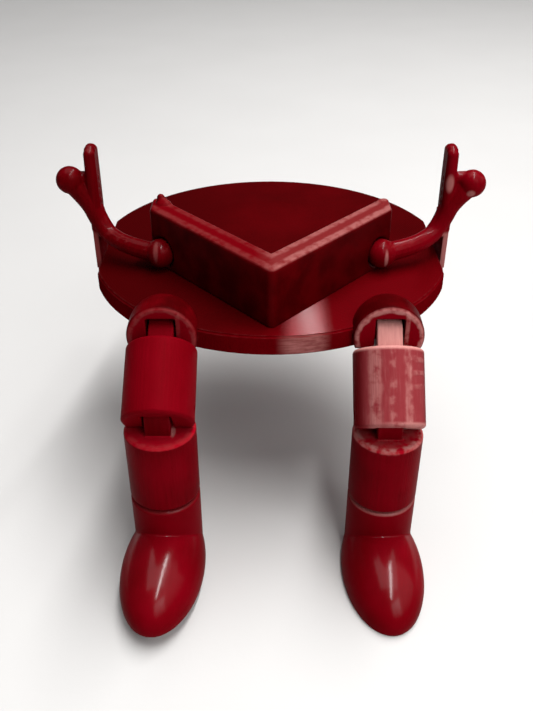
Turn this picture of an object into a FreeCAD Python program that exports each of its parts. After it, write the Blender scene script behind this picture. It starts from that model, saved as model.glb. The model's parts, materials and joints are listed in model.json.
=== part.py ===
import FreeCAD, Part
import math
import os

# A small printed toy robot: a flat round body with a raised chevron on its face,
# two forked arms that swing, and two jointed legs with boots.
#
# Frame: origin at the centre of the disc's flat back, +Z out of its face,
# -Y towards the feet, +X to the right as its face is seen.
# All sizes are in millimetres. Pieces made in pairs carry left_ (-X) or right_ (+X).

os.makedirs("parts", exist_ok=True)

V = FreeCAD.Vector
X_AXIS = V(1, 0, 0)
Y_AXIS = V(0, 1, 0)
Z_AXIS = V(0, 0, 1)
SIDES = {"left": -1, "right": 1}

# Round body
DISC_RADIUS = 32.0
DISC_THICK = 3.5
DISC_BEVEL = 0.35

# Raised chevron on the face
CREST_HEIGHT = 10.0
CREST_WALL = 4.4
CREST_SETBACK = 2.0         # its outer corner to the disc's rim
CREST_SLOPE = 48.3          # degrees between each arm and X
CREST_HALF_SPAN = 20.8
CREST_NOSE = 0.9            # round on the upright outer corners
CREST_BEVEL = 0.4           # along the top edges

# Legs
LEG_X = {"left": -16.85, "right": 18.1}         # centre of each leg
LEG_RADIUS = 5.5            # round front of every leg piece
LEG_BACK = 2.5              # flat back, behind the joint axes
LEG_BEVEL = 0.4
THIGH_LENGTH = 13.0         # hip pin to knee pin
SHIN_LENGTH = 15.3          # knee pin to ankle seam
HIP_SETBACK = 3.0           # hip pins to the disc's front rim, along Y
HIP_STUB = 3.0              # straight part of the hip stub behind its end face
THIGH_DROP = {"left": 34.0, "right": 49.0}      # below the disc's plane, degrees
SHIN_DROP = 90.0

# Pinned knuckles at hip and knee
PIN_RADIUS = 0.875
PIN_FIT = 0.02              # radial, in the piece that holds the pin
PIN_RUN = 0.06              # radial, in the piece that turns on it
PIN_INSET = 0.3             # pin's ends below the leg's sides
TONGUE_WIDTH = 3.9
SLOT_SIDE_GAP = 0.3         # each side of the tongue
SLOT_END_GAP = 0.5          # behind the tongue's round end
SLOT_ROOF_GAP = 0.9         # in front of the tongue
KNUCKLE_END = 2.0           # pin's axis to the fork's end face
KNUCKLE_GAP = 0.3           # between the round of a fork's corner and what swings past it

# Ankle swivel, a collared peg held in the shin
ANKLE_GAP = 0.3
PEG_RADIUS = 1.75
PEG_UP = 6.0                # length held in the shin
PEG_DOWN = 7.5              # length in the boot
COLLAR_RADIUS = 2.3
COLLAR_HEIGHT = 1.2
COLLAR_DROP = 4.0           # ankle seam to the collar's top
PEG_RUN = 0.08              # radial, in the boot
COLLAR_GAP = 0.2            # above and below the collar
PEG_END_GAP = 0.4

# Boots
BOOT_LENGTH_RADIUS = 12.8
BOOT_RADIUS = 6.6
BOOT_FORWARD = 6.2          # widest line in front of the shin's axis
BOOT_DROP = 11.6            # ankle seam to the widest line
SOLE_DROP = 1.0             # flat sole below the widest line
TOE_OUT = {"left": 4.0, "right": 1.75}

# Arms
SHOULDER_OUT = 19.0         # X of the ball's centre
SHOULDER_PROUD = 0.6        # ball's centre in front of the chevron's wall
SHOULDER_LIFT = 0.45        # the ball's underside above the disc's face
SHOULDER_BALL = 2.55
FLAT_INSET = 1.9            # depth of the disc's side flats, which the prongs pass
ELBOW_INSET = 0.3           # elbow's centre inside those flats
ELBOW_UP = 5.6              # shoulder to elbow, along Y
ELBOW_RISE = 3.2            # shoulder to elbow, along Z
ROD_RADIUS = 1.3
HAND_OUT = {"left": 4.1, "right": 4.9}          # elbow to the hand's centre, along X
HAND_RISE = {"left": 8.0, "right": 7.2}
HAND_BALL = 2.45
HAND_NECK = 1.75            # radius of the rod where it meets the hand
FINGER_WIDTH = 1.9
FINGER_DEPTH = 3.6
FINGER_OUT = 0.3            # finger's centre outside the elbow's
FINGER_RISE = 13.9          # elbow to fingertip
PRONG_THICK = 0.9
PRONG_DEPTH = 4.4
PRONG_DROP = 9.5            # elbow to the prong's end
ARM_GAP = 0.3               # between an arm and whatever it swings past
SHOULDER_PEG_COVER = 0.5    # wall left behind the peg
SHOULDER_PEG_REACH = 1.0    # past the ball's centre


def crest_outline_y(x, outer):
    """Y of the chevron's outer or inner line at a distance from its centre line."""
    slope = math.radians(CREST_SLOPE)
    apex = CREST_SETBACK - DISC_RADIUS
    if not outer:
        apex += CREST_WALL / math.cos(slope)
    return apex + abs(x) * math.tan(slope)


# Places that follow from the sizes above, given for the right side
DISC_FLAT = DISC_RADIUS - FLAT_INSET
WALL_AT_SHOULDER = crest_outline_y(SHOULDER_OUT, True)
SHOULDER_Y = WALL_AT_SHOULDER - SHOULDER_PROUD / math.cos(math.radians(CREST_SLOPE))
SHOULDER = V(SHOULDER_OUT, SHOULDER_Y, DISC_THICK + SHOULDER_LIFT + SHOULDER_BALL)
ELBOW = V(DISC_FLAT - ELBOW_INSET, SHOULDER.y + ELBOW_UP, SHOULDER.z + ELBOW_RISE)
KNUCKLE_REACH = LEG_BACK + KNUCKLE_GAP      # pin's axis to the end of the piece that turns on it


def leg_bar(y_low, y_high):
    """A leg's section between two Y values: round in front, flat behind."""
    length = y_high - y_low
    rod = Part.makeCylinder(LEG_RADIUS, length, V(0, y_low, 0), Y_AXIS)
    return rod.cut(behind_the_leg(y_low, y_high))


def behind_the_leg(y_low, y_high):
    """Everything behind the flat back of a leg."""
    size = 4 * LEG_RADIUS
    return Part.makeBox(size, y_high - y_low, size, V(-size / 2, y_low, -LEG_BACK - size))


def edges_in_plane(shape, axis, level):
    """The edges that lie wholly where one coordinate has a given value."""
    found = []
    for edge in shape.Edges:
        middle = edge.valueAt((edge.FirstParameter + edge.LastParameter) / 2)
        points = [vertex.Point for vertex in edge.Vertexes] + [middle]
        if all(abs(getattr(point, axis) - level) < 1e-4 for point in points):
            found.append(edge)
    return found


def bevel(shape, axis, level, size):
    """The shape with every edge in one plane bevelled."""
    return shape.makeChamfer(size, edges_in_plane(shape, axis, level))


def bevelled_bar(y_low, y_high):
    """A length of leg with both ends bevelled."""
    return bevel(bevel(leg_bar(y_low, y_high), "y", y_high, LEG_BEVEL), "y", y_low, LEG_BEVEL)


def pin_hole(clearance):
    """A hole across a leg at the origin, for its pin."""
    length = 4 * LEG_RADIUS
    return Part.makeCylinder(PIN_RADIUS + clearance, length, V(-length / 2, 0, 0), X_AXIS)


def fork_room():
    """What a fork loses, around its pin's axis at the origin, so that a tongue can swing in it."""
    width = TONGUE_WIDTH + 2 * SLOT_SIDE_GAP
    depth = LEG_BACK + SLOT_END_GAP
    front = KNUCKLE_END + LEG_RADIUS
    low = -LEG_BACK - LEG_RADIUS
    roof = LEG_BACK + SLOT_ROOF_GAP
    slot = Part.makeBox(width, depth + front, roof - low, V(-width / 2, -front, low))
    corner = Part.makeBox(4 * LEG_RADIUS, front, -low, V(-2 * LEG_RADIUS, -front, low))
    heel = Part.makeCylinder(LEG_BACK, 4 * LEG_RADIUS, V(-2 * LEG_RADIUS, 0, 0), X_AXIS)
    return slot.fuse(corner.cut(heel)).fuse(pin_hole(PIN_FIT))


def tongue():
    """The tongue that turns on a pin at the origin, reaching just into the piece below it."""
    reach = KNUCKLE_REACH + 2 * LEG_BEVEL
    left = -TONGUE_WIDTH / 2
    eye = Part.makeCylinder(LEG_BACK, TONGUE_WIDTH, V(left, 0, 0), X_AXIS)
    web = Part.makeBox(TONGUE_WIDTH, reach, 2 * LEG_BACK, V(left, -reach, -LEG_BACK))
    return eye.fuse(web)


def joint_pin():
    """A plain pin across a leg, with its centre at the origin."""
    half = LEG_RADIUS - PIN_INSET
    pin = Part.makeCylinder(PIN_RADIUS, 2 * half, V(-half, 0, 0), X_AXIS)
    pin = bevel(pin, "x", -half, PIN_RADIUS / 4)
    return bevel(pin, "x", half, PIN_RADIUS / 4)


def hip_pin_place(side):
    return V(LEG_X[side], HIP_SETBACK - DISC_RADIUS, LEG_BACK)


def knee_pin_place(side):
    drop = math.radians(THIGH_DROP[side])
    down_the_thigh = V(0, -math.cos(drop), -math.sin(drop))
    return hip_pin_place(side) + down_the_thigh * THIGH_LENGTH


def placed(shape, place, drop=0.0):
    """A leg piece turned down about X by an angle and moved to its joint."""
    result = shape.copy()
    result.rotate(V(0, 0, 0), X_AXIS, drop)
    result.translate(place)
    return result


def hip_stub_blank():
    """The rounded stub a leg hangs from, before its fork is cut, with the pin at the origin."""
    back = HIP_STUB - KNUCKLE_END
    size = 4 * LEG_RADIUS
    stub = bevel(leg_bar(-KNUCKLE_END, back), "y", -KNUCKLE_END, LEG_BEVEL)
    dome = Part.makeSphere(LEG_RADIUS, V(0, back, 0)).cut(behind_the_leg(back - size, back + size))
    front_half = Part.makeBox(size, size, size, V(-size / 2, back - size, -size / 2))
    return stub.fuse(dome.cut(front_half)).removeSplitter()


def hip_fork(side):
    fork = hip_stub_blank().cut(fork_room())
    return placed(fork, hip_pin_place(side))


def thigh(side):
    bottom = -(THIGH_LENGTH + KNUCKLE_END)
    body = bevelled_bar(bottom, -KNUCKLE_REACH)
    knee_room = placed(fork_room(), V(0, -THIGH_LENGTH, 0))
    body = body.cut(knee_room).fuse(tongue()).cut(pin_hole(PIN_RUN))
    return placed(body.removeSplitter(), hip_pin_place(side), THIGH_DROP[side])


def peg_outline(radial, collar_gap, end_gap):
    """The ankle peg along -Y below a knee pin at the origin, larger by its clearances."""
    top = -SHIN_LENGTH + PEG_UP
    end = -SHIN_LENGTH - PEG_DOWN - end_gap
    shaft = Part.makeCylinder(PEG_RADIUS + radial, top - end, V(0, end, 0), Y_AXIS)
    collar_low = -SHIN_LENGTH - COLLAR_DROP - COLLAR_HEIGHT - collar_gap
    collar_length = COLLAR_HEIGHT + 2 * collar_gap
    collar = Part.makeCylinder(COLLAR_RADIUS + radial, collar_length, V(0, collar_low, 0), Y_AXIS)
    return shaft.fuse(collar)


def ankle_peg(side):
    return placed(peg_outline(0, 0, 0), knee_pin_place(side), SHIN_DROP)


def shin(side):
    body = bevelled_bar(-SHIN_LENGTH, -KNUCKLE_REACH).fuse(tongue()).cut(pin_hole(PIN_RUN))
    body = body.cut(peg_outline(PIN_FIT, 0, 0))
    return placed(body.removeSplitter(), knee_pin_place(side), SHIN_DROP)


def toe_egg(widest):
    """The boot's long rounded body, turned about a line parallel to Z, its toe towards +Z."""
    middle = V(0, widest, BOOT_FORWARD)
    tip = middle + Z_AXIS * BOOT_LENGTH_RADIUS
    tail = middle - Z_AXIS * BOOT_LENGTH_RADIUS
    side = middle + X_AXIS * BOOT_RADIUS
    outline = Part.ArcOfEllipse(Part.Ellipse(tip, side, middle), 0, math.pi).toShape()
    face = Part.Face(Part.Wire([outline, Part.makeLine(tail, tip)]))
    return face.revolve(middle, Z_AXIS, 360)


def boot(side):
    cuff_top = -SHIN_LENGTH - ANKLE_GAP
    widest = -SHIN_LENGTH - BOOT_DROP
    sole = widest - SOLE_DROP
    size = 4 * BOOT_LENGTH_RADIUS
    below_sole = Part.makeBox(size, size, size, V(-size / 2, sole - size, -size / 2))
    toe = toe_egg(widest).cut(below_sole).cut(behind_the_leg(sole, cuff_top))
    cuff = bevel(leg_bar(sole, cuff_top), "y", cuff_top, LEG_BEVEL)
    body = cuff.fuse(toe).cut(peg_outline(PEG_RUN, COLLAR_GAP, PEG_END_GAP)).removeSplitter()
    body.rotate(V(0, 0, 0), Y_AXIS, SIDES[side] * TOE_OUT[side])
    return placed(body, knee_pin_place(side), SHIN_DROP)


def crest_blank():
    span = CREST_HALF_SPAN
    corners = [(x, crest_outline_y(x, True)) for x in (-span, 0, span)]
    corners += [(x, crest_outline_y(x, False)) for x in (span, 0, -span)]
    points = [V(x, y, DISC_THICK) for x, y in corners]
    outline = Part.makePolygon(points + points[:1])
    block = Part.Face(outline).extrude(Z_AXIS * CREST_HEIGHT)
    inner_corner = crest_outline_y(0, False)
    uprights = [e for e in block.Edges if e.Length > CREST_HEIGHT - 0.01 and is_upright(e)]
    outer = [e for e in uprights if abs(e.Vertexes[0].Point.y - inner_corner) > 0.01]
    block = block.makeFillet(CREST_NOSE, outer)
    return bevel(block, "z", DISC_THICK + CREST_HEIGHT, CREST_BEVEL)


def is_upright(edge):
    ends = [vertex.Point for vertex in edge.Vertexes]
    return abs(ends[0].x - ends[1].x) < 1e-6 and abs(ends[0].y - ends[1].y) < 1e-6


def on_side(point, side):
    """A point given for the right, or its mirror image on the left."""
    return V(SIDES[side] * point.x, point.y, point.z)


def shoulder_pocket(side):
    """The room a shoulder ball needs in the end of the chevron."""
    radius = SHOULDER_BALL + ARM_GAP
    centre = on_side(SHOULDER, side)
    outwards = X_AXIS * SIDES[side]
    way_out = Part.makeCylinder(radius, CREST_HALF_SPAN, centre, outwards)
    return Part.makeSphere(radius, centre).fuse(way_out)


def shoulder_peg(side, radial=0.0, end_gap=0.0):
    """The shoulder peg along X, larger by its clearances where it is a hole."""
    inner_apex = crest_outline_y(0, False)
    inner_wall = (SHOULDER.y + PIN_RADIUS - inner_apex) / math.tan(math.radians(CREST_SLOPE))
    inner_end = inner_wall + SHOULDER_PEG_COVER
    length = SHOULDER.x + SHOULDER_PEG_REACH + end_gap - inner_end
    start = on_side(V(inner_end, SHOULDER.y, SHOULDER.z), side)
    return Part.makeCylinder(PIN_RADIUS + radial, length, start, X_AXIS * SIDES[side])


def crest():
    block = crest_blank()
    for side in SIDES:
        block = block.cut(shoulder_pocket(side)).cut(shoulder_peg(side, PIN_FIT))
    return block


def disc():
    round_body = Part.makeCylinder(DISC_RADIUS, DISC_THICK)
    width = 2 * DISC_FLAT
    middle = Part.makeBox(width, 2 * DISC_RADIUS, DISC_THICK, V(-DISC_FLAT, -DISC_RADIUS, 0))
    round_body = round_body.common(middle)
    round_body = bevel(round_body, "z", DISC_THICK, DISC_BEVEL)
    round_body = bevel(round_body, "z", 0, DISC_BEVEL)
    for side in SIDES:
        round_body = round_body.cut(placed(hip_stub_blank(), hip_pin_place(side)))
    return round_body


def block_beside(side, near_x, thick, y_middle, depth, z_low, height):
    """An upright block whose inner face is near_x from the middle of the toy."""
    corner_x = near_x if side == "right" else -near_x - thick
    return Part.makeBox(thick, depth, height, V(corner_x, y_middle - depth / 2, z_low))


def finger(side):
    """The upright blade above the elbow, with a rounded tip."""
    half = FINGER_WIDTH / 2
    middle_x = ELBOW.x + FINGER_OUT
    straight = FINGER_RISE - half
    blade = block_beside(side, middle_x - half, FINGER_WIDTH, ELBOW.y, FINGER_DEPTH, ELBOW.z, straight)
    tip_end = on_side(V(middle_x, ELBOW.y - FINGER_DEPTH / 2, ELBOW.z + straight), side)
    return blade.fuse(Part.makeCylinder(half, FINGER_DEPTH, tip_end, Y_AXIS))


def prong(side):
    """The thin strip below the elbow, passing the disc's flat."""
    half = PRONG_DEPTH / 2
    inner = DISC_FLAT + ARM_GAP
    y_middle = ELBOW.y + half - ROD_RADIUS
    end_z = ELBOW.z - PRONG_DROP + half
    strip = block_beside(side, inner, PRONG_THICK, y_middle, PRONG_DEPTH, end_z, PRONG_DROP - half)
    end = on_side(V(inner, y_middle, end_z), side)
    return strip.fuse(Part.makeCylinder(half, PRONG_THICK, end, X_AXIS * SIDES[side]))


def arm(side):
    """One printed arm: shoulder ball, rod, elbow, hand, finger and prong."""
    shoulder = on_side(SHOULDER, side)
    elbow = on_side(ELBOW, side)
    hand = on_side(ELBOW + V(HAND_OUT[side], 0, HAND_RISE[side]), side)
    pieces = [
        Part.makeCylinder(ROD_RADIUS, (elbow - shoulder).Length, shoulder, elbow - shoulder),
        Part.makeSphere(ROD_RADIUS, elbow),
        Part.makeCone(ROD_RADIUS, HAND_NECK, (hand - elbow).Length, elbow, hand - elbow),
        Part.makeSphere(HAND_BALL, hand),
        finger(side),
        prong(side),
    ]
    body = Part.makeSphere(SHOULDER_BALL, shoulder)
    for piece in pieces:
        body = body.fuse(piece)
    return body.cut(shoulder_peg(side, PIN_RUN, ARM_GAP)).removeSplitter()


def make_pieces():
    pieces = {"body_disc": disc(), "chest_crest": crest()}
    for side in SIDES:
        pieces[side + "_arm"] = arm(side)
        pieces[side + "_shoulder_peg"] = shoulder_peg(side)
        pieces[side + "_hip_fork"] = hip_fork(side)
        pieces[side + "_hip_pin"] = placed(joint_pin(), hip_pin_place(side))
        pieces[side + "_thigh"] = thigh(side)
        pieces[side + "_knee_pin"] = placed(joint_pin(), knee_pin_place(side))
        pieces[side + "_shin"] = shin(side)
        pieces[side + "_ankle_peg"] = ankle_peg(side)
        pieces[side + "_boot"] = boot(side)
    return pieces


for name, piece in make_pieces().items():
    if not piece.isValid() or len(piece.Solids) != 1:
        raise ValueError(name + " is not one sound solid")
    piece.Solids[0].exportStep("parts/" + name + ".step")
    print(name, round(piece.Volume, 1))
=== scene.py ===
import json
import math

import bmesh
import bpy
from mathutils import Euler, Matrix, Vector


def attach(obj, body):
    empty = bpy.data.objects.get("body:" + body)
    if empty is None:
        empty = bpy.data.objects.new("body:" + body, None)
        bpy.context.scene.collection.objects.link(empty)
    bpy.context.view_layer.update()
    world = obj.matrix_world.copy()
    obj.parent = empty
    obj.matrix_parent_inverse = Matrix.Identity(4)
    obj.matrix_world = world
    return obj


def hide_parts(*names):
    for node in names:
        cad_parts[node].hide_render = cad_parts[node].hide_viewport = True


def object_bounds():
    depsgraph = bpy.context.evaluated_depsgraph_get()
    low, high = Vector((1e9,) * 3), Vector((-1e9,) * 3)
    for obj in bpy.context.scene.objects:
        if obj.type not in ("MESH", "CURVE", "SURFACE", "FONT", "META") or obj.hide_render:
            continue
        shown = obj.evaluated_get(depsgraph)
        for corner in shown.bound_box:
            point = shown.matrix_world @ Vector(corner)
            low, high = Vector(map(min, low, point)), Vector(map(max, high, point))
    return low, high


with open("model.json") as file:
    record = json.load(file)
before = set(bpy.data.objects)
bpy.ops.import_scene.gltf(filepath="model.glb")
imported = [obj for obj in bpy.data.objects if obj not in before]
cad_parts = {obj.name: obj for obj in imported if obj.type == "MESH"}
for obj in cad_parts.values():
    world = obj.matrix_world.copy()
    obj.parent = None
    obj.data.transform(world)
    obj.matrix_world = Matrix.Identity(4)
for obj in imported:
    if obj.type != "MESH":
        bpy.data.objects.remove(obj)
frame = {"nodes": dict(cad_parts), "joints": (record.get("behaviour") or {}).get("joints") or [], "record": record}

# The looks of a small printed toy robot: every piece in dark red printed plastic, with its
# layer lines, laid lines, worn edges and scuffs, and some light and shade painted into its
# colours. Sizes are in metres in the frame of the parts:
# +Z out of the disc's face, -Y towards the feet, +X across the body.

CAD_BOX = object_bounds()
MM = 0.001
UP = Vector((0, 0, 1))
CREST_SLOPE = math.radians(48.3)    # how steeply each arm of the chevron climbs
CREST_NORMAL = Vector((math.sin(CREST_SLOPE), -math.cos(CREST_SLOPE), 0))
FRONT = Vector((0, -1, 0))
DOWN = Vector((0, 0, -1))
RIGHT = Vector((1, 0, 0))
DIAGONAL = Vector((1, 1, 0)).normalized()           # from one laid line of the face to the next
CROSS_DIAGONAL = Vector((1, -1, 0)).normalized()    # and of the back
JOINTS = {joint["name"]: joint for joint in frame["joints"]}
BODIES = frame["record"]["behaviour"]["bodies"]
BODY_OF = {node: body for body, nodes in BODIES.items() for node in nodes}

# Printing
LAYER = 0.2 * MM            # height of one printed layer
BEAD = 0.42 * MM            # width of one laid line on a flat face
LAYER_DEPTH = 0.007 * MM    # how deep the grooves between layers look
BEAD_DEPTH = 0.010 * MM     # and those between laid lines

# The skin on the disc's face
FACE_AT = 3.5 * MM          # the disc's face
SKIN_HALF = 0.01 * MM       # the skin reaches this far above and below the face
RING_START = 20.4 * MM      # where the rings of laid lines begin, from the disc's centre
RING_END = 31.8 * MM        # the skin's edge, just inside the disc's rim
FLAT_AT = 30.0 * MM         # and just inside its two flats
RING_CORNERS = 256          # corners around the skin

# Softening: voxel size, rounds of smoothing and share of the faces kept
SOFT_THIGH = (0.14 * MM, 6, 0.3)
SOFT_SHIN = (0.13 * MM, 2, 0.3)
SOFT_BOOT = (0.14 * MM, 3, 0.3)
SOFT_FORK = (0.14 * MM, 6, 0.4)
SOFT_ARM = (0.13 * MM, 8, 0.4)
SOFT_CREST = (0.20 * MM, 3, 0.25)

# Colours, as the shader takes them
BRIGHT = (0.150, 0.0004, 0.0040, 1)
CRIMSON = (0.110, 0.0003, 0.0022, 1)
DEEP = (0.070, 0.0003, 0.0012, 1)
DARK = (0.038, 0.0002, 0.0006, 1)
LIT = (0.27, 0.001, 0.008, 1)       # painted light: the clearest red, painted on the tops by the knees and on the face's bright patch in front
ROSE = (0.22, 0.030, 0.035, 1)      # sanded
BLUSH = (0.24, 0.050, 0.048, 1)     # rubbed a little; on the chevron's top at the right it is painted light
CHALK = (0.36, 0.135, 0.125, 1)     # rubbed pale; also painted highlights on the rim's front, the prongs, the arms, the left knee and the ankle seams
PALE = (0.62, 0.29, 0.26, 1)        # the bare tongue of the sanded thigh
TABLE_DARK = (0.54, 0.53, 0.52, 1)
TABLE_LIGHT = (0.57, 0.56, 0.55, 1)

# Shine
SHINE = 0.008               # specular level of the dull plastic
SLICK_SHINE = 0.25          # and on the glossy patch in front of the face, whose colour is also painted light
REFRACTION = 1.46
GLOSS_ROUGHNESS = 0.17      # of the clear gloss on what faces up
RING_FLANK = 0.49           # slope of the laid rings' outer flanks

# Wear and painted highlights: how strongly the pale marks show. The right side is worn far more than the left; on
# the legs and forks the pale marks are wear and painted highlights, on the arms painted highlights only
LEG_WEAR_AND_HIGHLIGHT = {"left": 0.08, "right": 0.9}
FORK_WEAR_AND_HIGHLIGHT = {"left": 0.15, "right": 0.85}
ARM_HIGHLIGHT_STRENGTH = {"left": 0.25, "right": 0.9}
KNEE_PAINTED_HIGHLIGHT = ((-14.7, -41.2, -7.6), (0.5, 1.6, 1.0))     # a painted highlight, in mm, beside the left knee's tongue

# Arms, in mm
# The right arm's tones are lighter than the left's: painted light from the right side.
ARM_TONES = {"left": (DEEP, CRIMSON), "right": (CRIMSON, BRIGHT)}
HAND_AT = {"left": (34.25, 17.8), "right": (34.35, 17.2)}    # out from the middle, and up
ARM_PAINTED_HIGHLIGHTS = {                                               # painted highlights: the place and the reach of each
    "left": [((-19.6, -11.2, 7.5), (0.6, 2, 2.4))],
    "right": [
        ((19.7, -11.6, 6.4), (0.45, 2, 2.0)),
        ((30.3, -5.8, 17.6), (0.9, 1.5, 2.0)),
        ((33.9, -6.6, 16.1), (0.9, 1.2, 0.9)),
    ],
}

# Camera
CAMERA_AT = (-0.00065, -0.13547, 0.06822)
LOOKS_DOWN = 33.355         # degrees below level
LOOKS_ASIDE = 0.045         # degrees to its left
LENS = 40.75


class Number:
    """A number that changes over a surface. Arithmetic on it adds Math nodes."""

    def __init__(self, paint, socket):
        self.paint = paint
        self.socket = socket

    def maths(self, operation, *values):
        """A Math node on this number and others."""
        inputs = dict(enumerate(values))
        return self.paint.number("Math", {"operation": operation}, inputs)

    def __add__(self, other):
        return self.maths("ADD", self, other)

    def __radd__(self, other):
        return self.maths("ADD", other, self)

    def __sub__(self, other):
        return self.maths("SUBTRACT", self, other)

    def __rsub__(self, other):
        return self.maths("SUBTRACT", other, self)

    def __mul__(self, other):
        return self.maths("MULTIPLY", self, other)

    def __rmul__(self, other):
        return self.maths("MULTIPLY", other, self)

    def __truediv__(self, other):
        return self.maths("DIVIDE", self, other)

    def __pow__(self, other):
        return self.maths("POWER", self, other)

    def sine(self):
        return self.maths("SINE", self)

    def size(self):
        return self.maths("ABSOLUTE", self)

    def between(self, low, high):
        """0 below one value and 1 above another, with a soft step between them."""
        limits = {"Value": self, "From Min": low, "From Max": high}
        return self.paint.number("MapRange", {"interpolation_type": "SMOOTHSTEP"}, limits)


class Paint:
    """One finish, as a material with its nodes."""

    def __init__(self, name):
        self.material = bpy.data.materials.new(name)
        self.material.use_nodes = True
        self.tree = self.material.node_tree
        self.tree.nodes.clear()
        coordinates = self.add("TexCoord").outputs
        self.place = coordinates["Object"]
        self.own_normal = coordinates["Normal"]

    def add(self, kind, settings=None, inputs=None):
        """A node of one type: its settings first, then values or links for its sockets."""
        node = self.tree.nodes.new("ShaderNode" + kind)
        for key, value in (settings or {}).items():
            setattr(node, key, value)
        for key, value in (inputs or {}).items():
            if isinstance(value, Number):
                value = value.socket
            if isinstance(value, bpy.types.NodeSocket):
                self.tree.links.new(value, node.inputs[key])
            else:
                node.inputs[key].default_value = value
        return node

    def number(self, kind, settings=None, inputs=None, output=0):
        """The number that a new node gives."""
        return Number(self, self.add(kind, settings, inputs).outputs[output])

    def along(self, direction):
        """Distance along a direction, in metres."""
        inputs = {0: self.place, 1: direction}
        return self.number("VectorMath", {"operation": "DOT_PRODUCT"}, inputs, "Value")

    def from_axis(self, centre):
        """Distance from an upright line, in metres."""
        flat = self.add("VectorMath", {"operation": "MULTIPLY"}, {0: self.place, 1: (1, 1, 0)})
        inputs = {0: flat.outputs[0], 1: centre}
        return self.number("VectorMath", {"operation": "DISTANCE"}, inputs, "Value")

    def grained(self, run, length):
        """The place, drawn out along one direction, so that noise on it makes streaks that way."""
        run = Vector(run).normalized()
        across = run.orthogonal().normalized()
        turned = (across, run.cross(across), run)
        parts = [self.along(axis) for axis in turned]
        parts[2] = parts[2] / length
        return self.add("CombineXYZ", None, dict(enumerate(parts))).outputs[0]

    def noise(self, size, detail=2.0, roughness=0.5, place=None):
        """Noise from 0 to 1 whose spots are about one size across."""
        inputs = {
            "Vector": place or self.place,
            "Scale": 1 / size,
            "Detail": detail,
            "Roughness": roughness,
        }
        return self.number("TexNoise", None, inputs, "Fac")

    def mix(self, amount, first, second):
        """A colour that goes from the first to the second as an amount goes from 0 to 1."""
        settings = {"data_type": "RGBA"}
        return self.add("Mix", settings, {0: amount, 6: first, 7: second}).outputs[2]

    def edge(self, radius):
        """Near 0 on open faces and towards 1 where the surface turns sharply outwards or inwards."""
        round_normal = self.add("Bevel", {"samples": 6}, {"Radius": radius}).outputs[0]
        true_normal = self.add("NewGeometry").outputs["Normal"]
        inputs = {0: round_normal, 1: true_normal}
        likeness = self.number("VectorMath", {"operation": "DOT_PRODUCT"}, inputs, "Value")
        return (1 - likeness).between(0.01, 0.20)

    def lines(self, distance, pitch):
        """Rounded ridges from -1 to 1, one for each step of a distance."""
        return (distance * (2 * math.pi / pitch)).sine()

    def band(self, distance, middle, half):
        """1 at the middle of a band of a distance, fading to 0 at half its width away."""
        return 1 - ((distance - middle) / half).size().between(0.4, 1.0)

    def facing(self, direction):
        """1 where the surface faces a direction at rest, and 0 or less side on to it."""
        inputs = {0: self.own_normal, 1: direction}
        return self.number("VectorMath", {"operation": "DOT_PRODUCT"}, inputs, "Value")

    def near(self, point, reach):
        """1 at a point and 0 beyond a reach from it, given along each axis, all in mm."""
        start = tuple(value * MM for value in point)
        scale = tuple(1 / (value * MM) for value in reach)
        away = self.add("VectorMath", {"operation": "SUBTRACT"}, {0: self.place, 1: start})
        away = self.add("VectorMath", {"operation": "MULTIPLY"}, {0: away.outputs[0], 1: scale})
        span = self.number("VectorMath", {"operation": "LENGTH"}, {0: away.outputs[0]}, "Value")
        return 1 - span.between(0.4, 1.0)

    def bump(self, height, depth, under=None):
        """A normal that shows a height from 0 to 1 as a depth in metres, on another normal if given."""
        inputs = {"Height": height, "Distance": depth, "Strength": 1.0}
        if under is not None:
            inputs["Normal"] = under
        return self.add("Bump", None, inputs).outputs[0]

    def leaning_out(self, slope):
        """A normal that leans away from the upright line through the origin, as a ring's flank does."""
        flat = self.add("VectorMath", {"operation": "MULTIPLY"}, {0: self.place, 1: (1, 1, 0)})
        out = self.add("VectorMath", {"operation": "NORMALIZE"}, {0: flat.outputs[0]})
        settings = {"vector_type": "NORMAL", "convert_from": "OBJECT", "convert_to": "WORLD"}
        out = self.add("VectorTransform", settings, {0: out.outputs[0]})
        lean = self.add("VectorMath", {"operation": "SCALE"}, {0: out.outputs[0], "Scale": slope})
        true_normal = self.add("NewGeometry").outputs["Normal"]
        total = self.add("VectorMath", {"operation": "ADD"}, {0: true_normal, 1: lean.outputs[0]})
        return self.add("VectorMath", {"operation": "NORMALIZE"}, {0: total.outputs[0]}).outputs[0]

    def plastic(self, colour, roughness, normal, shine, coat=0.0):
        """Plastic with little shine of its own, and a clear gloss where it has a coat."""
        inputs = {
            "Base Color": colour,
            "Roughness": roughness,
            "Normal": normal,
            "Specular IOR Level": shine,
            "Coat Weight": coat,
            "Coat Roughness": GLOSS_ROUGHNESS,
            "IOR": REFRACTION,
        }
        return self.add("BsdfPrincipled", None, inputs).outputs[0]

    def finish(self, *look):
        """The material, as one plastic all over."""
        shader = self.plastic(*look)
        self.add("OutputMaterial", None, {"Surface": shader})
        return self.material


def layered(paint, stacking, depth):
    """The fine ridges left by layers stacked along a direction."""
    wobble = paint.noise(2.5 * MM) * (0.10 * MM)
    return paint.bump(paint.lines(paint.along(stacking) + wobble, LAYER), depth)


def streaked(paint, run, tones):
    """Red that drifts slowly and streaks along a direction, with the change in its roughness."""
    cloud = paint.noise(7 * MM, 3.0)
    streaks = paint.noise(0.5 * MM, 2.0, 0.6, paint.grained(run, 12))
    tint = cloud * 0.6 + streaks * 0.3 + 0.1
    return paint.mix(tint.between(0.2, 0.8), *tones), streaks * 0.10 + cloud * 0.06


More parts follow.
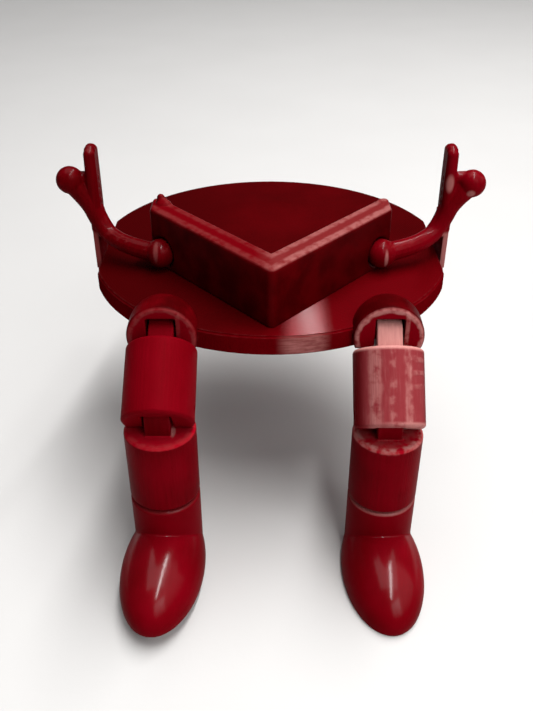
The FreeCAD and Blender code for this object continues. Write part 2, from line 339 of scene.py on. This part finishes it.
def printed(name, stacking, run, tones=(DEEP, CRIMSON), dullness=0.28):
    """Red printed plastic: layers stacked along one direction, streaks running along another."""
    paint = Paint(name)
    colour, unevenness = streaked(paint, run, tones)
    scrape = paint.edge(0.3 * MM) * paint.noise(0.9 * MM, 3.0).between(0.3, 0.7) * 0.6
    colour = paint.mix(scrape, colour, BLUSH)
    roughness = unevenness + scrape * 0.2 + dullness
    normal = layered(paint, stacking, LAYER_DEPTH)
    normal = paint.bump(paint.noise(0.15 * MM, 2.0), 0.003 * MM, normal)
    return paint.finish(colour, roughness, normal, SHINE)


def scuffed_thigh(name, stacking, run, hip):
    """The same plastic after rough sanding: pale bands down the front, red left on the flanks."""
    paint = Paint(name)
    across = paint.along(RIGHT) - hip.x
    down = paint.along(run) - hip.dot(run)
    front = (paint.along(stacking) - hip.dot(stacking)).between(1.0 * MM, 3.6 * MM)
    front = front * across.between(-5.3 * MM, -3.7 * MM)
    wander = (paint.noise(2.0 * MM, 2.0) - 0.5) * (0.9 * MM)
    fine = paint.noise(0.45 * MM, 3.0, 0.6, paint.grained(run, 9))
    blots = paint.noise(1.6 * MM, 3.0)
    left_band = paint.band(across + wander, -2.7 * MM, 1.2 * MM) * blots.between(0.25, 0.5)
    right_band = paint.band(across + wander, 2.2 * MM, 0.8 * MM) * blots.between(0.3, 0.6)
    middle_band = paint.band(across + wander, -0.2 * MM, 0.7 * MM) * blots.between(0.45, 0.65)
    steps = paint.lines(down + wander, 2.1 * MM).between(0.0, 0.9) * across.between(2.6 * MM, 3.4 * MM)
    steps = steps * (1 - down.between(8 * MM, 10 * MM)) * blots.between(0.3, 0.6)
    lip = down.between(14.0 * MM, 14.5 * MM) * across.between(-3.5 * MM, 1.5 * MM)
    chalk = left_band * 0.9 + right_band * 0.8 + middle_band * 0.6 + steps * 0.65
    chalk = chalk * (fine * 0.8 + 0.3) + fine.between(0.5, 0.8) * 0.2
    tongue = 1 - down.between(3.0 * MM, 3.6 * MM)
    chalk = chalk * (1 - tongue)
    colour = paint.mix(front * (blots * 0.3 + 0.7), CRIMSON, ROSE)
    colour = paint.mix(front * chalk, colour, CHALK)
    colour = paint.mix(lip * blots.between(0.2, 0.5), colour, CHALK)
    colour = paint.mix(tongue * (fine * 0.5 + 0.45), colour, PALE)
    roughness = front * 0.20 + fine * 0.15 + 0.25
    normal = layered(paint, stacking, LAYER_DEPTH)
    normal = paint.bump(fine + steps, 0.06 * MM, normal)
    return paint.finish(colour, roughness, normal, SHINE)


def shin_finish(name, knee, ankle, seam, pale):
    """A shin: red, with worn edges around the knee, its top by the knee painted bright as painted light, a painted
    highlight beside the left knee's tongue, and a pale line at the ankle seam that is a painted highlight.
    """
    paint = Paint(name)
    colour, unevenness = streaked(paint, UP, (DEEP, BRIGHT))
    blots = paint.noise(1.2 * MM, 3.0)
    drop = paint.along(DOWN)
    by_knee = 1 - (drop - DOWN.dot(knee)).between(5 * MM, 8 * MM)
    # Painted light: the faces that look up near the knee are painted brighter, with pink blots on them, most on
    # the right.
    top = paint.facing(UP).between(0.2, 0.7) * by_knee
    colour = paint.mix(top, colour, LIT)
    colour = paint.mix(top * blots.between(0.3, 0.6) * (pale * 0.5), colour, BLUSH)
    scrape = paint.edge(0.5 * MM) * blots.between(0.3, 0.6) * by_knee * pale
    colour = paint.mix(scrape, colour, CHALK)
    rim = paint.from_axis((ankle.x, ankle.y, 0)).between(4.2 * MM, 4.8 * MM) * paint.facing(UP)
    colour = paint.mix(rim * by_knee * blots.between(0.35, 0.65) * pale, colour, CHALK)
    # A painted highlight beside the left knee's tongue.
    knee_painted_highlight = paint.near(*KNEE_PAINTED_HIGHLIGHT) * 0.8
    # Painted highlight: the pale line at the ankle seam.
    line = paint.band(drop, seam, 0.45 * MM) * (blots * 0.5 + 0.3)
    colour = paint.mix(knee_painted_highlight, colour, CHALK)
    colour = paint.mix(line * pale, colour, CHALK)
    normal = layered(paint, FRONT, LAYER_DEPTH)
    return paint.finish(colour, unevenness + 0.28, normal, SHINE)


def boot_finish(name, seam, pale):
    """A boot: smooth red plastic, glossy where it faces up, with a pale line at the ankle seam that is a painted
    highlight.
    """
    paint = Paint(name)
    cloud = paint.noise(7 * MM, 3.0)
    fine = paint.noise(0.5 * MM, 2.0)
    colour = paint.mix(cloud.between(0.2, 0.8), CRIMSON, BRIGHT)
    # Painted highlight: the pale line at the ankle seam.
    line = paint.band(paint.along(DOWN), seam + 0.3 * MM, 0.45 * MM) * (fine * 0.5 + 0.3)
    colour = paint.mix(line * pale, colour, CHALK)
    gloss = paint.facing(UP).between(0.55, 0.85)
    normal = layered(paint, FRONT, 0.001 * MM)
    return paint.finish(colour, fine * 0.10 + cloud * 0.06 + 0.28, normal, SHINE, gloss * 0.36)


def fork_finish(name, hip, pale):
    """A hip fork: dark red, its front faces painted bright as painted light, and its forward rim worn pale by the
    thigh, with a painted highlight there too.
    """
    paint = Paint(name)
    across = paint.along(RIGHT) - hip.x
    height = paint.along(UP) - hip.z
    reach = (across * across + height * height) ** 0.5
    forward = paint.facing(FRONT).between(0.5, 0.9)
    wander = (paint.noise(1.5 * MM, 2.0) - 0.5) * (0.8 * MM)
    blots = paint.noise(1.1 * MM, 3.0)
    rim = (reach + wander).between(4.4 * MM, 4.8 * MM)
    slot_side = paint.band(across, 2.6 * MM, 0.5 * MM)
    # The pale rim is wear and painted highlight.
    worn_and_highlit = (rim + slot_side * 0.7) * forward * blots.between(0.25, 0.6) * pale
    cloud = paint.noise(5 * MM, 3.0)
    colour = paint.mix(cloud.between(0.3, 0.8), DARK, CRIMSON)
    # Painted light: the faces that look forward are painted bright over the darker red.
    colour = paint.mix(forward, colour, BRIGHT)
    colour = paint.mix(worn_and_highlit, colour, CHALK)
    scrape = paint.edge(0.3 * MM) * blots.between(0.3, 0.6) * 0.6
    colour = paint.mix(scrape, colour, BLUSH)
    normal = layered(paint, UP, LAYER_DEPTH)
    return paint.finish(colour, cloud * 0.1 + worn_and_highlit * 0.2 + 0.32, normal, SHINE)


def crest_finish(name, wall_at):
    """The chevron: walls painted dark as painted shade, a top painted brighter as painted light and pinker on the
    right, and pale bands along the top's edges, worn and with painted highlight, most on the right.
    """
    paint = Paint(name)
    level = paint.facing(UP).between(0.5, 0.9)
    sideways = paint.along(RIGHT)
    right = sideways.between(-2 * MM, 2 * MM)
    inward = wall_at - (sideways.size() * CREST_NORMAL.x + paint.along((0, CREST_NORMAL.y, 0)))
    inward = inward + (paint.noise(1.5 * MM, 2.0) - 0.5) * (0.7 * MM)
    blots = paint.noise(1.3 * MM, 3.0)
    # Pale bands along the top's edges: wear and painted highlight, stronger on the right.
    worn_and_highlit = paint.band(inward, 0.7 * MM, 1.0 * MM) * (right * 0.40 + 0.10)
    worn_and_highlit = worn_and_highlit + paint.band(inward, 3.6 * MM, 1.0 * MM) * (right * 0.35 + 0.08)
    apex = 1 - sideways.size().between(0.5 * MM, 3.0 * MM)
    worn_and_highlit = (worn_and_highlit + apex * 0.05) * blots.between(0.2, 0.6)
    cloud = paint.noise(4 * MM, 3.0)
    fine = paint.noise(0.5 * MM, 3.0)
    # Painted shade and light: the walls are painted dark, the top brighter, and pinker on the right.
    colour = paint.mix(cloud.between(0.3, 0.7), DARK, DEEP)
    colour = paint.mix(level, colour, CRIMSON)
    colour = paint.mix(level * right * 0.25, colour, BLUSH)
    colour = paint.mix(level * worn_and_highlit, colour, CHALK)
    scrape = paint.edge(0.4 * MM) * blots.between(0.3, 0.6)
    colour = paint.mix(scrape * (right * 0.3 + 0.12), colour, CHALK)
    normal = paint.bump(fine, 0.008 * MM, layered(paint, UP, LAYER_DEPTH))
    return paint.finish(colour, fine * 0.12 + 0.30, normal, SHINE)


def rim_finish(name):
    """The disc's rim and back: dull red, with layer lines, worn edges and a pale band on the rim's front that is a
    painted highlight.
    """
    paint = Paint(name)
    cloud = paint.noise(11 * MM, 3.0)
    fine = paint.noise(0.6 * MM, 3.0)
    colour = paint.mix((cloud * 0.9 + fine * 0.3 - 0.1).between(0.2, 0.8), DEEP, CRIMSON)
    scrape = paint.edge(0.3 * MM) * paint.noise(1.2 * MM, 3.0).between(0.35, 0.7) * 0.5
    colour = paint.mix(scrape, colour, BLUSH)
    sideways = paint.along(RIGHT)
    drawn = paint.noise(0.4 * MM, 2.0, 0.6, paint.grained(RIGHT, 12)).between(0.3, 0.7)
    # Painted highlight: a pale streaked band on the front of the rim.
    worn_and_highlit = paint.band(sideways, 5.0 * MM, 4.6 * MM) * paint.facing(FRONT).between(0.5, 0.9)
    colour = paint.mix(worn_and_highlit * (drawn * 0.4 + 0.35), colour, CHALK)
    raster = paint.lines(paint.along(CROSS_DIAGONAL), BEAD)
    normal = paint.bump(raster * 0.5, BEAD_DEPTH, layered(paint, UP, LAYER_DEPTH))
    return paint.finish(colour, fine * 0.12 + 0.34, normal, 0.0)


def face_finish(name):
    """The disc's face: laid lines over the middle, rings of them outside, painted shade on its sides and left,
    painted light on its right front, and a glossy patch in front painted bright as painted light.
    """
    paint = Paint(name)
    radius = paint.from_axis((0, 0, 0))
    ringed = radius.between(RING_START, RING_START + 0.6 * MM)
    raster = paint.lines(paint.along(DIAGONAL), BEAD)
    laid = paint.lines(radius, BEAD) * ringed + raster * (1 - ringed) * 0.7
    cloud = paint.noise(11 * MM, 3.0)
    fine = paint.noise(0.6 * MM, 3.0)
    colour = paint.mix((cloud * 0.9 + fine * 0.3 - 0.1).between(0.1, 0.9), DARK, DEEP)
    # Painted shade: the sides and the left of the face are painted darker.
    beside = paint.along(RIGHT).size().between(12 * MM, 26 * MM)
    left = paint.along(-RIGHT).between(2 * MM, 14 * MM)
    colour = paint.mix(beside * 0.4 + left * 0.7, colour, DARK)
    # Painted light: the right front of the face is painted brighter.
    right_front = paint.along(CROSS_DIAGONAL).between(14 * MM, 26 * MM)
    colour = paint.mix(right_front * 0.6, colour, CRIMSON)
    scrape = paint.edge(0.3 * MM) * paint.noise(1.2 * MM, 3.0).between(0.35, 0.7) * 0.5
    colour = paint.mix(scrape, colour, BLUSH)
    sideways = paint.along(RIGHT) + (fine - 0.5) * (1.2 * MM)
    worn_and_highlit = paint.along(FRONT).between(14 * MM, 22 * MM) * ringed
    worn_and_highlit = worn_and_highlit * paint.band(sideways, 5.4 * MM, 4.6 * MM)
    dull = paint.plastic(colour, fine * 0.10 + 0.42, paint.bump(laid, BEAD_DEPTH), SHINE)
    # Painted light: the glossy patch in front is painted the bright red under its gloss.
    colour = paint.mix(worn_and_highlit, colour, LIT)
    slick = paint.plastic(colour, 0.20, paint.leaning_out(RING_FLANK), SLICK_SHINE)
    shader = paint.add("MixShader", None, {0: worn_and_highlit * (fine * 0.2 + 0.4), 1: dull, 2: slick})
    paint.add("OutputMaterial", None, {"Surface": shader.outputs[0]})
    return paint.material


def floor_finish():
    """The plain pale table."""
    paint = Paint("pale_table")
    cloud = paint.noise(40 * MM, 2.0)
    colour = paint.mix(cloud, TABLE_DARK, TABLE_LIGHT)
    normal = paint.bump(paint.noise(0.6 * MM, 2.0), 0.01 * MM)
    return paint.finish(colour, 0.7 + cloud * 0.1, normal, 0.2)


def joint_place(name):
    """The point that a joint turns about."""
    return Vector(JOINTS[name]["pos_m"])


def softened(node, softening, mesh=None):
    """A part's own shape, or another, with its edges softened as melted plastic leaves them."""
    voxel, rounds, keep = softening
    part = frame["nodes"][node]
    piece = bpy.data.objects.new(node + "_print", mesh or part.data.copy())
    bpy.context.collection.objects.link(piece)
    remesh = piece.modifiers.new("voxels", "REMESH")
    remesh.mode = "VOXEL"
    remesh.voxel_size = voxel
    smooth = piece.modifiers.new("soften", "SMOOTH")
    smooth.factor = 0.5
    smooth.iterations = rounds
    fewer = piece.modifiers.new("fewer", "DECIMATE")
    fewer.ratio = keep
    shown = piece.evaluated_get(bpy.context.evaluated_depsgraph_get())
    mesh = bpy.data.meshes.new_from_object(shown)
    piece.modifiers.clear()
    piece.data = mesh
    mesh.shade_smooth()
    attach(piece, BODY_OF[node])
    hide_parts(node)
    return piece


def wear(thing, material):
    """Give a part or a piece its finish."""
    thing.data.materials.clear()
    thing.data.materials.append(material)


def make_legs():
    """Both legs from the forks down. The right thigh is sanded; the left one is as printed."""
    for side in ("left", "right"):
        hip = joint_place(side + "_hip_bend")
        knee = joint_place(side + "_knee_bend")
        down_thigh = (knee - hip).normalized()
        out_of_thigh = down_thigh.cross(RIGHT)
        seam = max(DOWN.dot(vertex.co) for vertex in frame["nodes"][side + "_shin"].data.vertices)
        pale = LEG_WEAR_AND_HIGHLIGHT[side]
        if side == "left":
            tones = (CRIMSON, BRIGHT)
            thigh_finish = printed("thigh_red_left", out_of_thigh, down_thigh, tones, dullness=0.42)
        else:
            thigh_finish = scuffed_thigh("thigh_scuffed_right", out_of_thigh, down_thigh, hip)
        wear(softened(side + "_thigh", SOFT_THIGH), thigh_finish)
        shin = softened(side + "_shin", SOFT_SHIN)
        ankle = joint_place(side + "_ankle_turn")
        wear(shin, shin_finish("shin_red_" + side, knee, ankle, seam, pale))
        boot = softened(side + "_boot", SOFT_BOOT)
        wear(boot, boot_finish("boot_red_" + side, seam, pale))
        fork = softened(side + "_hip_fork", SOFT_FORK)
        wear(fork, fork_finish("fork_red_" + side, hip, FORK_WEAR_AND_HIGHLIGHT[side]))
        pin_finish = printed("pin_red_" + side, RIGHT, UP)
        for pin in ("_hip_pin", "_knee_pin", "_ankle_peg", "_shoulder_peg"):
            wear(frame["nodes"][side + pin], pin_finish)


def tube(points, radii):
    """A round limb along a smooth line of points, as a mesh. Points and radii are in mm."""
    curve = bpy.data.curves.new("limb", "CURVE")
    curve.dimensions = "3D"
    curve.bevel_depth = MM
    curve.bevel_resolution = 5
    curve.resolution_u = 10
    curve.use_fill_caps = True
    spline = curve.splines.new("NURBS")
    spline.points.add(len(points) - 1)
    for knot, point, radius in zip(spline.points, points, radii):
        knot.co = (*(Vector(point) * MM), 1)
        knot.radius = radius
    spline.order_u = 3
    spline.use_endpoint_u = True
    holder = bpy.data.objects.new("limb", curve)
    bpy.context.collection.objects.link(holder)
    shown = holder.evaluated_get(bpy.context.evaluated_depsgraph_get())
    mesh = bpy.data.meshes.new_from_object(shown)
    bpy.data.objects.remove(holder)
    return mesh


def add_ball(form, centre, radius):
    """A ball, in mm."""
    place = Matrix.Translation(Vector(centre) * MM)
    bmesh.ops.create_icosphere(form, subdivisions=4, radius=radius * MM, matrix=place)


def add_slab(form, low, high):
    """A box between two corners, in mm; a side may be given either way round."""
    low = Vector(low) * MM
    high = Vector(high) * MM
    size = [abs(value) for value in high - low]
    place = Matrix.Translation((low + high) / 2) @ Matrix.Diagonal((*size, 1))
    bmesh.ops.create_cube(form, size=1, matrix=place)


def add_limb(form, points, radii):
    """A limb with round ends, in mm."""
    form.from_mesh(tube(points, radii))
    add_ball(form, points[0], radii[0])
    add_ball(form, points[-1], radii[-1])


def arm_form(out, hand_x, hand_z):
    """The arm as printed: one bent limb to a ball hand, with a finger blade webbed to it."""
    form = bmesh.new()

    def at(x, y, z):
        """A place on this arm, in mm, from the right one's."""
        return (out * x, y, z)

    # from the shoulder's ball past the elbow to the hand's
    limb = [at(19.2, -9.6, 6.5), at(23.8, -8.4, 6.9), at(28.4, -5.4, 7.9), at(30.3, -4.6, 10.6)]
    limb += [at(31.4, -4.4, 14.2), at(hand_x, -4.4, hand_z)]
    form.from_mesh(tube(limb, [1.8, 1.6, 1.55, 1.5, 1.75, 2.0]))
    add_ball(form, at(19.1, -9.58, 6.5), 2.5)
    add_ball(form, at(hand_x, -4.5, hand_z), 2.35)
    # the finger, flat and wide, and the web that joins it to the hand
    for shift, top in ((-1.3, 22.3), (-0.5, 22.7), (0.4, 22.7), (1.2, 22.4)):
        blade = [at(30.5, shift - 3.5, 9.0), at(30.5, shift - 3.5, 15.0), at(30.4, shift - 3.5, top)]
        add_limb(form, blade, [1.0, 1.1, 1.0])
    for height, reach in ((12.6, 0.3), (14.0, 0.5), (15.4, 0.75), (16.8, 0.9), (18.0, 0.95)):
        web = [at(30.4, -4.0, height), at(30.4 + (hand_x - 30.4) * reach, -4.2, height + 0.2)]
        add_limb(form, web, [1.1, 1.1])
    # the inside of the elbow, filled a little
    add_limb(form, [at(27.6, -5.6, 7.9), at(29.4, -4.6, 9.8), at(30.0, -4.0, 12.6)], [1.2, 1.15, 0.9])
    # the prong that hangs past the disc's flat, and its narrower end
    add_slab(form, at(30.30, -5.6, 1.6), at(31.25, 2.4, 10.2))
    add_slab(form, at(30.30, -4.9, 0.4), at(31.25, 1.2, 1.8))
    return form


def arm_finish(name, tones, pale, painted_highlights):
    """An arm's plastic, with a painted highlight on the front edge of its prong, and other painted highlights."""
    paint = Paint(name)
    cloud = paint.noise(6 * MM, 3.0)
    fine = paint.noise(0.5 * MM, 2.0, 0.6, paint.grained(UP, 8))
    colour = paint.mix((cloud * 0.6 + fine * 0.4).between(0.3, 0.7), *tones)
    # Painted highlight: a pale strip on the front edge of the prong.
    prong = paint.along(RIGHT).size().between(29.9 * MM, 30.3 * MM)
    prong = prong * (1 - paint.along(UP).between(8.2 * MM, 9.0 * MM))
    prong = prong * paint.facing(FRONT).between(0.2, 0.7)
    colour = paint.mix(prong * (fine * 0.4 + 0.6) * pale, colour, CHALK)
    inner = paint.facing(UP).between(0.2, 0.9) * paint.noise(1.2 * MM, 2.0).between(0.55, 0.7)
    colour = paint.mix(inner * 0.15, colour, BLUSH)
    # Painted highlights at the listed places.
    for point, reach in painted_highlights:
        colour = paint.mix(paint.near(point, reach) * (fine * 0.4 + 0.6) * pale, colour, CHALK)
    normal = layered(paint, (0, 1, 0), LAYER_DEPTH * 0.4)
    gloss = paint.facing(UP).between(0.3, 0.8)
    return paint.finish(colour, fine * 0.1 + 0.30, normal, SHINE, gloss * 0.12)


def make_arms():
    """Both arms, each in place of its plainer part."""
    for side, out in (("left", -1), ("right", 1)):
        mesh = bpy.data.meshes.new(side + "_arm_form")
        form = arm_form(out, *HAND_AT[side])
        form.to_mesh(mesh)
        form.free()
        finish = arm_finish("arm_red_" + side, ARM_TONES[side], ARM_HIGHLIGHT_STRENGTH[side], ARM_PAINTED_HIGHLIGHTS[side])
        wear(softened(side + "_arm", SOFT_ARM, mesh), finish)


def face_skin():
    """The skin of the disc's face, a hair proud of it, which carries the laid lines."""
    turns = RING_CORNERS
    loops = []
    for height in (FACE_AT - SKIN_HALF, FACE_AT + SKIN_HALF):
        for turn in range(turns):
            angle = 2 * math.pi * turn / turns
            x = max(-FLAT_AT, min(FLAT_AT, RING_END * math.cos(angle)))
            loops.append((x, RING_END * math.sin(angle), height))
    faces = [tuple(range(turns - 1, -1, -1)), tuple(range(turns, 2 * turns))]
    for turn in range(turns):
        beyond = (turn + 1) % turns
        faces.append((turn, beyond, beyond + turns, turn + turns))
    mesh = bpy.data.meshes.new("disc_face")
    mesh.from_pydata(loops, [], faces)
    piece = bpy.data.objects.new("disc_face", mesh)
    bpy.context.collection.objects.link(piece)
    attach(piece, BODY_OF["body_disc"])
    return piece


def make_body():
    """The disc, its face and the chevron."""
    wear(frame["nodes"]["body_disc"], rim_finish("disc_red"))
    wear(face_skin(), face_finish("face_red"))
    crest = frame["nodes"]["chest_crest"].data
    wall_at = max(CREST_NORMAL.dot(vertex.co) for vertex in crest.vertices)
    form = bmesh.new()
    form.from_mesh(crest)
    # the small raised tips at the two ends of the chevron
    add_limb(form, [(-18.6, -4.6, 12.6), (-18.9, -4.0, 13.5), (-19.1, -3.7, 14.3)], [1.7, 1.2, 0.7])
    add_limb(form, [(18.8, -4.2, 12.9), (19.3, -3.2, 13.3)], [1.0, 0.6])
    mesh = bpy.data.meshes.new("crest_form")
    form.to_mesh(mesh)
    form.free()
    wear(softened("chest_crest", SOFT_CREST, mesh), crest_finish("crest_red", wall_at))


def make_floor():
    """A table under the lowest point."""
    low = CAD_BOX[0].z
    bpy.ops.mesh.primitive_plane_add(size=4, location=(0, 0, low))
    floor = bpy.context.object
    floor.name = "table"
    floor.data.materials.append(floor_finish())


def area_light(name, place, target, size, power, turn=0.0):
    """A flat lamp at a place, aimed at a target and turned about that aim by some degrees."""
    lamp = bpy.data.lights.new(name, "AREA")
    lamp.shape = "RECTANGLE"
    lamp.size, lamp.size_y = size
    lamp.energy = power
    light = bpy.data.objects.new(name, lamp)
    light.location = place
    light.rotation_euler = (Vector(target) - Vector(place)).to_track_quat("-Z", "Y").to_euler()
    light.rotation_euler.rotate_axis("Z", math.radians(turn))
    bpy.context.collection.objects.link(light)


def make_lights():
    """A long tube above the right side, soft light from the front and right, and a pale ceiling."""
    chest = (0, -0.02, -0.005)
    area_light("tube", (0.095, 0.03, 0.42), (0.095, 0.03, 0), (0.032, 0.56), power=2.7, turn=-10)
    area_light("window", (0.20, -0.38, 0.24), chest, (0.30, 0.40), power=1.2)
    area_light("side", (0.45, -0.15, 0.35), chest, (0.70, 0.70), power=1.3)
    area_light("ceiling", (0.0, 0.50, 1.50), (0, 0.4, 0), (1.6, 1.6), power=15)
    world = bpy.data.worlds.new("studio")
    bpy.context.scene.world = world
    world.use_nodes = True
    world.node_tree.nodes["Background"].inputs["Color"].default_value = (0.9, 0.92, 1.0, 1)
    world.node_tree.nodes["Background"].inputs["Strength"].default_value = 0.05


def make_camera():
    """Stands in front of the feet and looks down across the body."""
    camera = bpy.data.cameras.new("camera")
    camera.lens = LENS
    camera.clip_start = 0.005
    stand = bpy.data.objects.new("camera", camera)
    stand.location = CAMERA_AT
    stand.rotation_euler = Euler((math.radians(90 - LOOKS_DOWN), 0, math.radians(LOOKS_ASIDE)))
    bpy.context.collection.objects.link(stand)
    bpy.context.scene.camera = stand


make_camera()
make_floor()
make_lights()
make_body()
make_arms()
make_legs()
bpy.context.scene.view_settings.view_transform = "Standard"
